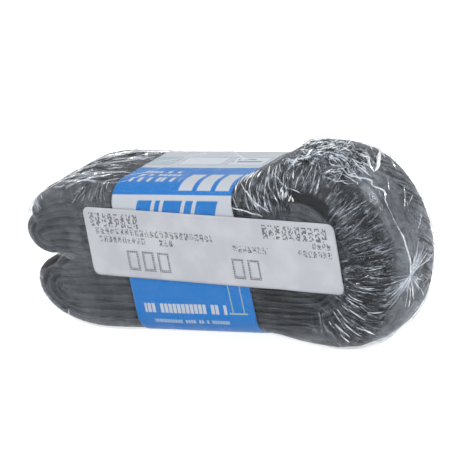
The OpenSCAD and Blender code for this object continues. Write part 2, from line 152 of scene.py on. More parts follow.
def ridges(p, seed=0, sharp=2.0):
    """Thin raised lines from 0 to 1 where the noise crosses zero."""
    return np.clip(1 - np.abs(noise(p, seed)) * sharp, 0, 1)


def columns(*parts):
    return np.stack(np.broadcast_arrays(*[np.asarray(q, float) for q in parts]), 1)


def run(path):
    """The length along a flat path up to each of its points."""
    return np.concatenate([[0], np.cumsum(np.hypot(*np.diff(path, axis=0).T))])


def resample(path, step, least=2):
    """The path with its points at even spacing, about step apart."""
    along = run(path)
    t = np.linspace(0, along[-1], max(least, int(along[-1] / step)))
    return np.stack([np.interp(t, along, path[:, c]) for c in (0, 1)], 1)


# ---------- mesh helpers ----------
def make_mesh(name, points, faces, body="root", smooth=True):
    mesh = bpy.data.meshes.new(name)
    mesh.from_pydata([tuple(p) for p in points], [], [tuple(int(i) for i in f) for f in faces])
    mesh.update()
    if smooth:
        mesh.polygons.foreach_set("use_smooth", [True] * len(mesh.polygons))
    obj = bpy.data.objects.new(name, mesh)
    bpy.context.scene.collection.objects.link(obj)
    if body:
        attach(obj, body)
    return obj


def grid_faces(rows, cols, wrap_rows=False, wrap_cols=False, start=0):
    r = np.arange(rows if wrap_rows else rows - 1)
    c = np.arange(cols if wrap_cols else cols - 1)
    r, c = [q.ravel() for q in np.meshgrid(r, c, indexing="ij")]
    r2, c2 = (r + 1) % rows, (c + 1) % cols
    return start + np.stack([r * cols + c, r * cols + c2, r2 * cols + c2, r2 * cols + c], 1)


def point_value(obj, name, values):
    attribute = obj.data.attributes.new(name, "FLOAT", "POINT")
    attribute.data.foreach_set("value", np.asarray(values, np.float32))


def flat_map(obj, name, coords):
    """A UV map in millimetres, from one (u, v) for each vertex."""
    layer = obj.data.uv_layers.new(name=name)
    loops = np.zeros(len(obj.data.loops), np.int64)
    obj.data.loops.foreach_get("vertex_index", loops)
    layer.data.foreach_set("uv", np.asarray(coords, np.float32)[loops].ravel())


# ---------- material helpers ----------
class Finish:
    """A small builder for node materials. Inputs may be numbers, colours, nodes or sockets."""

    def __init__(self, owner):
        """owner is a new material's name, or the world."""
        named = isinstance(owner, str)
        self.material = bpy.data.materials.new(owner) if named else owner
        self.material.use_nodes = True
        self.tree = self.material.node_tree
        self.tree.nodes.clear()
        self.out = self.tree.nodes.new("ShaderNodeOutput" + ("Material" if named else "World"))

    def put(self, node, key, value):
        if isinstance(value, bpy.types.Node):
            value = value.outputs[0]
        if isinstance(value, bpy.types.NodeSocket):
            self.tree.links.new(value, node.inputs[key])
        elif hasattr(value, "__len__") and len(value) == 3 and node.inputs[key].type == "RGBA":
            node.inputs[key].default_value = (*value, 1)
        else:
            node.inputs[key].default_value = value

    def node(self, kind, inputs=None, **props):
        node = self.tree.nodes.new("ShaderNode" + kind)
        for key, value in props.items():
            setattr(node, key, value)
        for key, value in (inputs or {}).items():
            self.put(node, key, value)
        return node

    def math(self, operation, a, b=0.0, clamp=False):
        return self.node("Math", {0: a, 1: b}, operation=operation, use_clamp=clamp).outputs[0]

    def times(self, *factors):
        product = factors[0]
        for factor in factors[1:]:
            product = self.math("MULTIPLY", product, factor)
        return product

    def total(self, *terms):
        """Sum of products, each term being a tuple of factors."""
        result = None
        for term in terms:
            product = self.times(*term)
            result = product if result is None else self.math("ADD", result, product)
        return result

    def mix(self, factor, a, b):
        return self.node("Mix", {0: factor, 6: a, 7: b}, data_type="RGBA").outputs[2]

    def ramp(self, value, low, high, to_low=0.0, to_high=1.0):
        return self.node("MapRange", {0: value, 1: low, 2: high, 3: to_low, 4: to_high},
                         interpolation_type="SMOOTHSTEP").outputs[0]

    def coordinates(self, scale=(1, 1, 1)):
        """Object coordinates in millimetres, times scale."""
        where = self.node("TexCoord").outputs["Object"]
        return self.node("Mapping", {0: where, 3: tuple(1000 * s for s in scale)}).outputs[0]

    def grain(self, scale, detail=3.0, rough=0.5, at=None):
        """Noise with scale features to each millimetre."""
        return self.node("TexNoise", {"Vector": at or self.coordinates(), "Scale": scale,
                                      "Detail": detail, "Roughness": rough}).outputs[0]

    def bump(self, height, strength=0.3, distance=0.0002, normal=None):
        inputs = {"Height": height, "Strength": strength, "Distance": distance}
        if normal is not None:
            inputs["Normal"] = normal
        return self.node("Bump", inputs).outputs[0]

    def value(self, name):
        return self.node("Attribute", attribute_name=name).outputs["Fac"]

    def show(self, shader):
        self.tree.links.new(shader.outputs[0], self.out.inputs[0])

    def surface(self, inputs):
        self.show(self.node("BsdfPrincipled", inputs))


def dress(obj, finish):
    obj.data.materials.clear()
    obj.data.materials.append(finish.material)


# ---------- camera, light and floor ----------
AZIMUTH, ELEVATION, ROLL = (math.radians(a) for a in (39, 19.8, 8.5))
DISTANCE, PX_PER_MM, IMAGE_W, SENSOR_W = 1300.0, 3.07, 460, 36.0
TARGET = SHIFT + np.array([0, 0, 3.9])
FLOOR_HALF, WORLD_LIGHT = 4.0, 0.36


def add_camera():
    back = np.array([math.sin(AZIMUTH) * math.cos(ELEVATION),
                     -math.cos(AZIMUTH) * math.cos(ELEVATION), math.sin(ELEVATION)])
    right = np.array([math.cos(AZIMUTH), math.sin(AZIMUTH), 0])
    up = np.cross(back, right)
    turned_right = right * math.cos(ROLL) - up * math.sin(ROLL)
    turned_up = right * math.sin(ROLL) + up * math.cos(ROLL)
    data = bpy.data.cameras.new("camera")
    data.sensor_fit, data.sensor_width = "HORIZONTAL", SENSOR_W
    data.lens = PX_PER_MM * DISTANCE * SENSOR_W / IMAGE_W
    data.clip_start, data.clip_end = 0.05, 20
    camera = bpy.data.objects.new("camera", data)
    bpy.context.scene.collection.objects.link(camera)
    place = (TARGET + back * DISTANCE) * MM
    rows = [(turned_right[i], turned_up[i], back[i], place[i]) for i in range(3)]
    camera.matrix_world = Matrix(rows + [(0, 0, 0, 1)])
    bpy.context.scene.camera = camera


def add_lamp(name, place, size, power, aim=(0, 0, 0.03), size_y=None):
    data = bpy.data.lights.new(name, "AREA")
    data.energy = power
    data.size = size
    if size_y:
        data.shape, data.size_y = "RECTANGLE", size_y
    lamp = bpy.data.objects.new(name, data)
    bpy.context.scene.collection.objects.link(lamp)
    lamp.location = place
    lamp.rotation_euler = (Vector(aim) - Vector(place)).to_track_quat("-Z", "Y").to_euler()


def seen_directly(finish):
    """1 for rays from the camera, from a mirror and through glass, else 0."""
    path = finish.node("LightPath").outputs
    both = finish.math("MAXIMUM", path["Is Camera Ray"], path["Is Glossy Ray"])
    return finish.math("MAXIMUM", both, path["Is Transmission Ray"])


def add_studio():
    world = bpy.data.worlds.new("studio")
    bpy.context.scene.world = world
    bpy.context.scene.view_settings.view_transform = "Standard"
    sky = Finish(world)
    strength = sky.node("MapRange", {0: seen_directly(sky), 3: WORLD_LIGHT, 4: 1.0}).outputs[0]
    sky.show(sky.node("Background", {"Color": (1, 1, 1), "Strength": strength}))

    corners = [(-FLOOR_HALF, -FLOOR_HALF, 0), (FLOOR_HALF, -FLOOR_HALF, 0),
               (FLOOR_HALF, FLOOR_HALF, 0), (-FLOOR_HALF, FLOOR_HALF, 0)]
    floor = make_mesh("floor", corners, [(0, 1, 2, 3)], body=None)
    floor.location.z = -0.0002
    finish = Finish("floor")
    glow = finish.node("Emission", {"Color": (1, 1, 1), "Strength": finish.times(
        seen_directly(finish), 0.84)})
    matt = finish.node("BsdfDiffuse", {"Color": (0.8, 0.8, 0.8)})
    finish.show(finish.node("AddShader", {0: glow, 1: matt}))
    dress(floor, finish)

    add_lamp("key", (-0.35, -0.45, 0.95), 0.24, 5.2)
    add_lamp("rim", (0.85, 0.35, 0.7), 0.24, 4.0, size_y=0.4)
    add_lamp("front", (0.5, -1.1, 0.45), 0.24, 5.6)


# ---------- shrink film ----------
STEP, RIM_LENGTH, SEAM_W = 0.6, 52, 21.5


def outline_point(part, t, f, lower=False):
    """Upper half of the outline, from the round end's tip (part 0, t 0) to the cleft. f is 1 at
    the front edge and 0 at the middle of the rim."""
    a = t * math.pi / 2
    if lower and part < 2:
        f = f * (1 + LOWER_EDGE * np.sin(a) if part == 0 else lower_edge(
            BULB_X + (LOBE_X - BULB_X) * t))
    if part == 0:
        x = BULB_X + (BULB_REACH - BULB_X - BULB_ROUND * f) * np.cos(a)
        return x, (BULB_H / 2 - BULB_ROUND * f) * np.sin(a), BULB_ROUND_Y + 0 * t
    if part == 1:
        x = BULB_X + (LOBE_X - BULB_X) * t
        z = half_height(x) - towards_bulb(EDGE_ROUND, BULB_ROUND, x) * f
        return x, z, towards_bulb(EDGE_ROUND_Y, BULB_ROUND_Y, x)
    if part == 2:
        x = LOBE_X - (LOBE_X + LOBE_REACH - EDGE_ROUND * f) * np.sin(a)
        z = LOBE_TIP_Z + (WAIST_H / 2 - LOBE_TIP_Z - EDGE_ROUND * f) * np.cos(a)
        return x, z, EDGE_ROUND_Y + 0 * t
    tip_x = CLEFT_X + CLEFT_PINCH + CLEFT_ROUND * f
    x = CLEFT_X - (CLEFT_X + LOBE_REACH - EDGE_ROUND * f) * np.sin(np.pi / 2 - a)
    z = LOBE_TIP_Z - (LOBE_TIP_Z - CLEFT_GAP / 2 - CLEFT_ROUND * f) * np.cos(np.pi / 2 - a)
    pinch = ease(0.8, 1, t)
    return x + (tip_x - x) * pinch, z * (1 - pinch), EDGE_ROUND_Y + 0 * t


def outline_stations(step):
    """(part, t, s) at even spacing along the upper outline; s is the length from the tip."""
    samples = [(part, t) for part in range(4) for t in np.linspace(0, 1, 400)]
    xz = np.array([outline_point(part, np.float64(t), 0)[:2] for part, t in samples], float)
    s = run(xz)
    count = int(s[-1] / step)
    wanted = np.linspace(0, s[-1], count + 1)
    lengths = np.array([part + t for part, t in samples])
    spot = np.interp(wanted, s + np.arange(len(s)) * 1e-9, lengths)
    return [(min(int(q), 3), q - min(int(q), 3)) for q in spot], wanted


def film_base(step=STEP):
    """Points, s, w, w_back and faces of the smooth skin. s runs round the outline, 0 at the round
    end's tip and negative below; w runs from the front face's edge over the rim, negative inside
    it, and w_back likewise from the back face's edge."""
    stations, s_up = outline_stations(step)
    rows = int(RIM_LENGTH / step)
    grid, s_all, w_all, back_all = [], [], [], []
    for side in (1, -1):
        picks = range(len(stations)) if side == 1 else range(len(stations) - 2, 0, -1)
        for k in picks:
            part, t = stations[k]
            a = np.linspace(math.pi / 2, 0, 40)
            f = 1 - np.cos(a)
            x, z, ry = outline_point(part, np.float64(t), f, side < 0)
            y = -(HALF_D - ry + ry * np.sin(a))
            arc = np.stack([np.broadcast_to(x, f.shape), y, side * np.broadcast_to(z, f.shape)], 1)
            whole = np.concatenate([arc, arc[::-1] * [1, -1, 1]])
            pieces = np.linalg.norm(np.diff(whole, axis=0), axis=1)
            length = np.concatenate([[0], np.cumsum(pieces)])
            w = np.linspace(0, length[-1], rows)
            keep = np.concatenate([[True], np.diff(length) > 1e-9])
            grid.append(np.stack([np.interp(w, length[keep], whole[keep, c]) for c in range(3)], 1))
            s_all.append(np.full(rows, side * s_up[k]))
            w_all.append(w)
            back_all.append(w[-1] - w)
    n = len(grid)
    points = np.concatenate(grid)
    s_all, w_all, back_all = (np.concatenate(q) for q in (s_all, w_all, back_all))
    across = back_all[0]
    faces = [tuple(q) for q in grid_faces(n, rows, wrap_rows=True)]
    rim = np.array([q[0] for q in grid])
    cap, cap_s, cap_w, cap_faces = film_cap(rim, s_all[::rows], step)
    for back in (False, True):
        base = len(points)
        inner = cap.copy()
        if back:
            inner[:, 1] *= -1
        points = np.concatenate([points, inner])
        s_all = np.concatenate([s_all, cap_s])
        w_all = np.concatenate([w_all, across - cap_w if back else cap_w])
        back_all = np.concatenate([back_all, cap_w if back else across - cap_w])
        for face in cap_faces:
            ids = [i * rows + (rows - 1 if back else 0) if i < n else base + i - n for i in face]
            faces.append(tuple(ids[::-1] if back else ids))
    return points, s_all, w_all, back_all, faces


def film_cap(rim, rim_s, step):
    """Evenly spread points inside the front face's edge, and the triangles between them."""
    edge = rim[:, [0, 2]]
    low, high = edge.min(0), edge.max(0)
    lattice = []
    for row, z in enumerate(np.arange(low[1], high[1], step * 0.87)):
        xs = np.arange(low[0] + (row % 2) * step / 2, high[0], step)
        lattice.append(np.stack([xs, np.full(len(xs), z)], 1))
    lattice = np.concatenate(lattice)
    a, b = edge, np.roll(edge, -1, 0)
    inside = np.zeros(len(lattice), bool)
    near = np.full(len(lattice), 1e9)
    near_s = np.zeros(len(lattice))
    for k in range(len(a)):
        crosses = (a[k, 1] > lattice[:, 1]) != (b[k, 1] > lattice[:, 1])
        rise = b[k, 1] - a[k, 1]
        if abs(rise) > 1e-12:
            at = a[k, 0] + (lattice[:, 1] - a[k, 1]) / rise * (b[k, 0] - a[k, 0])
            inside ^= crosses & (lattice[:, 0] < at)
        gap = np.hypot(lattice[:, 0] - a[k, 0], lattice[:, 1] - a[k, 1])
        closer = gap < near
        near[closer] = gap[closer]
        near_s[closer] = rim_s[k]
    keep = inside & (near > step * 0.6)
    lattice, near, near_s = lattice[keep], near[keep], near_s[keep]
    n = len(edge)
    everything = [Vector(q) for q in np.concatenate([edge, lattice])]
    loop = [(k, (k + 1) % n) for k in range(n)]
    vertices, _, faces, origin, _, _ = delaunay_2d_cdt(everything, loop, [], 1, 1e-6)
    back_to = [o[0] for o in origin]
    faces = [tuple(back_to[i] for i in f) for f in faces]
    cap = np.stack([lattice[:, 0], np.full(len(lattice), rim[:, 1].min()), lattice[:, 1]], 1)
    return cap, near_s, -near, faces


def in_band(x, soft=1.5):
    """1 over the paper band, fading to 0 at its edges."""
    end = BAND_X + BAND_W
    return between(BAND_X - soft, BAND_X + soft, end - soft, end + soft, x)


def film_regions(p, s, w, w_back):
    """How strongly each kind of creasing acts at points of the film, from 0 to 1."""
    x, z = p[:, 0], p[:, 2]
    free = 1 - in_band(x)
    bulb, lobes = ease(19, 26, x), 1 - ease(-32, -28, x)
    rim = between(-7, 1, 13, 19, w) + between(-9, 1, 8, 14, w_back)
    smooth_face = between(22, 30, 60, 68, s) * (1 - ease(0.8, 1.8, w))
    smooth_strip = between(26, 30, 49, 53, s) * between(-9, -6, 5.2, 6.2, w)
    # clear_strip: the film has no haze there, and through the dark lines it loses its shine too, so
    # its darkness is painted
    clear_strip = smooth_strip * ease(1.2, 2.2, w)
    haze = (1.2 * bulb * between(14, 18, 36, 46, w) * (1 - 0.7 * ease(26, 32, s)) + 0.1
            + 0.35 * lobes * (1 - ease(6, 12, w)) + 0.35 * smooth_face)
    return {
        "gather": (free * bulb * rim * (1 - smooth_strip)
                   * np.where(w_back < w, 0.8, ease(-56, -48, s))),
        "crown": bulb * between(27, 33, 56, 64, s) * between(13, 18, 31, 36, w),
        "streak": free * lobes * ease(8, 16, z) * between(5, 10, 44, 50, w),
        "crimp": free * lobes * (0.55 * between(-3, 2, 7, 12, w)
                                 + 0.8 * between(-5, 0, 8, 13, w_back)),
        "sweep": ease(56, 64, x) * between(26, 31, 46, 50, w),
        "strip": clear_strip,
        "low": ease(20, 30, x) * (1 - ease(-8, 0, z)) * (1 - ease(2, 8, w)),
        "band": in_band(x),
        "milky": free * haze * (1 - clear_strip),
    }


def film_relief(p, s, w, on):
    """How far the film stands off its smooth form, in mm."""
    wander = layered(columns(s / 6, w / 9, 0), 11) * 1.5
    relief = 0.1 * layered(p / 9, 3) * (1 - 0.85 * in_band(p[:, 0]))
    folds = ridges(columns((s + wander) / 1.6, w / 11, 1.5), 21, 1.4)
    fine_folds = ridges(columns((s - wander) / 0.95, w / 6, 9.5), 22, 1.4)
    relief += on["gather"] * (0.4 * folds + 0.16 * fine_folds - 0.16)
    cells = ridges(p / 2.1 + layered(p / 3, 5)[:, None] * 0.6, 31, 1.7)
    big_cells = ridges(p / 4.5 + layered(p / 5, 6)[:, None] * 0.5, 33, 1.5)
    relief += on["crown"] * (0.34 * cells + 0.3 * big_cells - 0.2)
    streaks = ridges(columns(s / 24, (w + 0.2 * (s - 130)) / 1.7, 0), 41, 1.5)
    relief += on["streak"] * (0.36 * streaks - 0.1)
    crimps = ridges(columns((s + wander * 0.7) / 1.4, w / 7, 3.5), 51, 1.4)
    relief += on["crimp"] * (0.26 * crimps - 0.08)
    sweeps = ridges(columns((s + 0.55 * w) / 2.3, w / 16, 5.5), 52, 1.3)
    relief += on["sweep"] * 0.22 * sweeps * ease(-0.1, 0.3, noise(columns(s / 7, 0, 0), 53))
    # broad soft folds low on the round end's front
    low = ease(22, 34, p[:, 0]) * (1 - ease(-8, 2, p[:, 2])) * (1 - ease(0, 6, w))
    relief += low * 0.5 * noise(columns(p[:, 0] / 15, 0, (p[:, 2] + 0.35 * p[:, 0]) / 4.2), 61)
    # the seam's strip is smooth and stands a little proud
    weld = between(-12, -6, 28, 32, s) * np.exp(-(w - SEAM_W) ** 2)
    return relief + 0.3 * weld


def build_film():
    points, s, w, w_back, faces = film_base()
    on = film_regions(points, s, w, w_back)
    relief = film_relief(points, s, w, on)
    film = make_mesh("film", to_world(points), faces)
    normals = np.zeros(len(points) * 3, np.float32)
    film.data.vertices.foreach_get("normal", normals)
    normals = normals.reshape(-1, 3)
    world = to_world(points)
    middle = world.mean(0)
    if np.mean(np.sum(normals * (world - middle), 1)) < 0:
        film.data.flip_normals()
        normals = -normals
    moved = on_table(world + normals * (relief * MM)[:, None])
    film.data.vertices.foreach_set("co", moved.astype(np.float32).ravel())
    film.data.update()
    for name, values in on.items():
        point_value(film, name, values)
    flat_map(film, "flow", np.stack([s, w], 1))
    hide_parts("shrink_film")
    dress(film, film_finish())
    return film, Skin(film, s, w)


class Skin:
    """Finds points of the creased film by their lengths s and w."""

    def __init__(self, film, s, w):
        count = len(film.data.vertices)
        self.place = np.zeros(count * 3, np.float32)
        self.normal = np.zeros(count * 3, np.float32)
        film.data.vertices.foreach_get("co", self.place)
        film.data.vertices.foreach_get("normal", self.normal)
        self.place, self.normal = self.place.reshape(-1, 3), self.normal.reshape(-1, 3)
        self.tree = KDTree(count)
        for k in range(count):
            self.tree.insert((s[k], w[k], 0), k)
        self.tree.balance()

    def at(self, s, w):
        hits = self.tree.find_n((s, w, 0), 3)
        ids = [h[1] for h in hits]
        share = np.array([1 / (h[2] + 0.05) for h in hits])
        share /= share.sum()
        return share @ self.place[ids], share @ self.normal[ids]


def crease(skin, path, width, rise, step=0.45):
    """Points and faces of a small pinched ridge of film along a path of (s, w) points."""
    found = [skin.at(s, w) for s, w in resample(np.asarray(path, float), step, 4)]
    places, normals = (np.array(q) for q in zip(*found))
    count = len(places)
    for _ in range(2):
        places[1:-1] = (places[:-2] + 2 * places[1:-1] + places[2:]) / 4
    normals /= np.linalg.norm(normals, axis=1)[:, None]
    side = np.cross(normals, np.gradient(places, axis=0))
    side /= np.linalg.norm(side, axis=1)[:, None] + 1e-12
    taper = np.sqrt(np.sin(np.linspace(0.02, math.pi - 0.02, count)))[:, None]
    sunk = normals * 0.06 * MM
    left = places - side * (width / 2 * MM) * taper - sunk
    right = places + side * (width / 2 * MM) * taper - sunk
    top = places + normals * (rise * MM) * taper
    return np.stack([left, top, right], 1).reshape(-1, 3), grid_faces(count, 3)


def build_creases(name, skin, creases, finish):
    """creases holds (path, width, rise)."""
    points, faces = [], []
    base = 0
    for path, width, rise in creases:
        more, more_faces = crease(skin, path, width, rise)
        points.append(more)
        faces.append(more_faces + base)
        base += len(more)
    obj = make_mesh(name, on_table(np.concatenate(points)), np.concatenate(faces), smooth=False)
    dress(obj, finish)
    return obj


def crease_finish(name, haze, tint):
    """Film folded on itself: whiter and less clear than the flat film, the white partly painted
    highlight for the glints on creases. With a near-black tint it is painted shade in deep folds.
    """
    finish = Finish(name)
    uneven = finish.ramp(finish.grain(0.7, 3), 0.35, 0.65, haze * 0.35, haze)
    facing = finish.node("Fresnel", {"IOR": 1.45}).outputs[0]
    clear = finish.node("BsdfTransparent", {"Color": (0.98, 0.985, 0.99)})
    milk = finish.node("BsdfDiffuse", {"Color": tint})
    gloss = finish.node("BsdfGlossy", {"Color": (1, 1, 1), "Roughness": 0.16})
    cloudy = finish.node("MixShader", {0: uneven, 1: clear, 2: milk})
    # a near-black tint keeps almost no shine, so those ribbons are painted shade
    lift, most = (0.0, 0.03) if max(tint) < 0.1 else (0.14 * haze, 0.6)
    shine = finish.math("MINIMUM", finish.math("ADD", facing, lift), most)
    finish.show(finish.node("MixShader", {0: shine, 1: cloudy, 2: gloss}))
    return finish


# Listed creases as points (s, w) of the film, with a width in mm where they differ
WELD_TOP = ((37, 18.5), (33, 17.2), (29.4, 18.2), (27.5, 20.8), (25.8, 22.1), (23.6, 21.2),
            (21.5, 23.4), (19.2, 22.1), (15.6, 20.8))
WELD_END = ((15.6, 20.8), (9.6, 20.8), (4.5, 21.6), (0.6, 21.5), (-3.5, 22.6), (-8.4, 22.1),
            (-14, 21.6))
STAR = (-8.4, 22.1)
FLAP = ((33.5, 37), (31.5, 33.5), (28.8, 29.3), (27.6, 26))
FLAP_BACK = ((33.5, 30), (30.5, 27), (27.4, 25.5))
# GLINTS: where short white strokes are painted as glints of light
GLINTS = ((54.6, 5.8), (53.9, 4.4), (52.6, 4.3), (51.2, 3.0), (50.2, 2.6))
# DARK_FOLDS: near-black strips laid along deep folds, painted shade
DARK_FOLDS = ((((-11.4, 8.5), (-12.6, 9.6), (-14.4, 11.1)), 0.9),
              (((-10.5, -0.5), (-11.6, 2.3)), 0.8),
              (((-9.5, 2), (-7.4, 6.6)), 0.6), (((-2.5, 2), (-3, 7)), 0.6),
              (((7, 9), (0.6, 11.5), (-5, 13.2), (-11.4, 15.6)), 0.55),
              (((66, 6), (61, 3.5), (57, 1)), 0.5))
LONG_CREASES = ((((74.4, 8.6), (70, 5), (66, 1.8), (60, -1.8)), 0.5),
                (((76.8, 0), (70.8, -1.1), (64, -3)), 0.45),
                (((60.6, 12), (56, 9), (53.4, 6.5), (45, 4.6)), 0.4),
                (((23.4, 3.3), (22.0, 8), (21.4, 12), (21.6, 15.6)), 0.45),
                (((30, 16), (33.5, 13), (38, 12.2), (43, 13.5)), 0.35))
TOP_STREAKS = (((127.3, 8), (122, 9.5), (115.3, 18.6)), ((126.5, 13), (120, 17), (112, 27)),
               ((126.5, 24), (118, 29), (108, 36)), ((84, 28), (92, 32), (101, 39)))
ALONG_W, BACK_W, MILK = math.pi / 2, 54, (0.8, 0.85, 0.92)
# The short crimps left of the band: their ranges of s and w, and how they turn with s
CRIMPS, CRIMP_S, CRIMP_TURN = (128, 143, 2, 7), 132, 0.09


def wavy(rng, path, amount, step=1.2):
    """A path with small sideways wanders added."""
    out = resample(np.asarray(path, float), step, 3)
    out[1:-1] += rng.normal(0, amount, (len(out) - 2, 2))
    return out


def stroke(rng, s, w, angle, length, bend=0.25):
    """A short bent path through (s, w); angle 0 runs along s."""
    turn = rng.normal(0, bend)
    steps = 6
    path = [np.zeros(2)]
    for k in range(steps):
        a = angle + turn * (k / steps - 0.5) + rng.normal(0, 0.08)
        path.append(path[-1] + length / steps * np.array([math.cos(a), math.sin(a)]))
    path = np.array(path)
    return path - path[steps // 2] + (s, w)


def scatter(rng, count, place, angle, length, width, rise, bend=0.25, skip=None, both=False,
            back=0):
    """Random strokes: place holds the ranges of s and w, angle is a function of s, both mirrors
    half of them in s, and w is counted from back."""
    strokes = []
    for _ in range(count):
        sign = rng.choice([-1, 1]) if both else 1
        s, w = sign * rng.uniform(*place[:2]), abs(back - rng.uniform(*place[2:]))
        if not (skip and skip(s, w)):
            path = stroke(rng, s, w, angle(s), rng.uniform(*length), bend)
            strokes.append((path, rng.uniform(*width), rise))
    return strokes


def rays(rng, count, angles, spread, length, amount, width):
    """Thin creases that fan out from the star at the weld's lower end."""
    found = []
    for _ in range(count):
        angle = rng.choice([rng.normal(*q) for q in angles])
        start = np.array(STAR) + rng.normal(0, spread, 2)
        end = start + rng.uniform(*length) * np.array([math.cos(angle), math.sin(angle)])
        found.append((wavy(rng, (start, end), amount, 2.0), rng.uniform(*width), 0.25))
    return found


def add_creases(skin):
    rng = np.random.default_rng(4)

    def about(mean, spread, base=ALONG_W):
        return lambda s: base + rng.normal(mean, spread)

    def crimp_angle(s):
        return ALONG_W + (s - CRIMP_S) * CRIMP_TURN

    def lay(name, creases, haze, tint=MILK):
        build_creases(name, skin, creases, crease_finish(name, haze, tint))

    weld = [(wavy(rng, WELD_TOP, 0.42, 1.1), 0.55, 0.5),
            (wavy(rng, WELD_END, 0.14, 1.6), 0.42, 0.45)]
    lay("film_weld", weld, 0.95)

    # the flap, partly painted highlight, and short white strokes at GLINTS that are painted glints
    # of light
    strong = [(wavy(rng, FLAP, 0.2), 1.3, 0.7), (wavy(rng, FLAP_BACK, 0.25), 0.7, 0.4)]
    for s, w in GLINTS:
        path = stroke(rng, s, w, ALONG_W + rng.normal(0.2, 0.5), rng.uniform(1.2, 2.6))
        strong.append((path, rng.uniform(0.5, 1.1), 0.4))
    lay("film_flap_and_painted_glints", strong, 1.0, (0.9, 0.93, 0.96))

    # deep folds that look black: listed ones, then ones on the rim, the crown, the lobes' top and
    # the crimps
    # painted shade: these near-black strips of film stand in for the shade inside deep folds
    deep = [(wavy(rng, path, 0.1), width, 0.3) for path, width in DARK_FOLDS]
    deep += scatter(rng, 60, (-40, 74, 2, 13), about(-0.1, 0.3), (2, 5), (0.25, 0.5), 0.25,
                    skip=lambda s, w: 27 < s < 53)
    deep += scatter(rng, 70, (31, 58, 15, 31), about(0.2, 0.7, 0), (2, 5), (0.3, 0.7), 0.25, 0.9)
    deep += scatter(rng, 40, (129, 158, 9, 40), about(-0.42, 0.13, 0), (4, 12), (0.3, 0.55), 0.25,
                    0.1)
    deep += scatter(rng, 26, CRIMPS, crimp_angle, (2, 6), (0.2, 0.45), 0.15, 0.05)
    lay("film_fold_shade", deep, 0.8, (0.006, 0.0065, 0.0075))

    # the long creases that fan out from the band, and the gathers down the round end's rim
    thin = [(wavy(rng, path, 0.12), width, 0.4) for path, width in LONG_CREASES]
    thin += scatter(rng, 140, (-42, 76, 1, 13),
                    lambda s: ALONG_W + rng.normal(-0.25 if s > 26 else 0.1, 0.22),
                    (3, 8), (0.16, 0.3), 0.28,
                    skip=lambda s, w: 27 < s < 51 and w < 7.5 or -8 < s <= 27 and w < 4)

    def net_angle(s):
        return rng.normal(0.25, 0.75) if rng.random() < 0.65 else rng.uniform(0, math.pi)

    # the crumpled net on the crown
    thin += scatter(rng, 120, (30, 56, 14, 31), net_angle, (2.5, 7.5), (0.18, 0.34), 0.3, 1.1)
    thin += rays(rng, 24, ((0.85, 0.35), (-2.2, 0.4), (2.3, 0.3)), 0.3, (4, 11), 0.06, (0.14, 0.24))
    # gathers round the back face's edge
    thin += scatter(rng, 110, (-60, 76, 0, 10), about(0, 0.25), (3, 9), (0.18, 0.34), 0.3,
                    back=BACK_W)
    lay("film_creases", thin, 0.88, (0.8, 0.87, 0.95))

    faint = rays(rng, 36, ((0.85, 0.35), (-2.3, 0.4), (2.3, 0.4), (-0.7, 0.35)), 0.5, (5, 15), 0.1,
                 (0.16, 0.3))
    # streaks over the top of the upper lobe, drawn towards the band's corner
    faint += [(wavy(rng, path, 0.12), 0.3, 0.15) for path in TOP_STREAKS]
    faint += scatter(rng, 64, (129, 160, 9, 42), about(-0.42, 0.13, 0), (5, 18), (0.18, 0.4), 0.3,
                     0.1)
    # short crimps left of the band and round the lobes' ends
    faint += scatter(rng, 26, CRIMPS, crimp_angle, (2, 6), (0.15, 0.3), 0.15, 0.05)
    faint += scatter(rng, 70, (158, 184, 2, 14), about(0, 0.3), (2, 7), (0.15, 0.25), 0.2,
                     both=True)
    # hairlines on the far side of the rim
    faint += scatter(rng, 60, (-50, 60, 26, 48), about(0.9, 0.25, 0), (3, 9), (0.15, 0.25), 0.2)
    lay("film_hairlines", faint, 0.36)


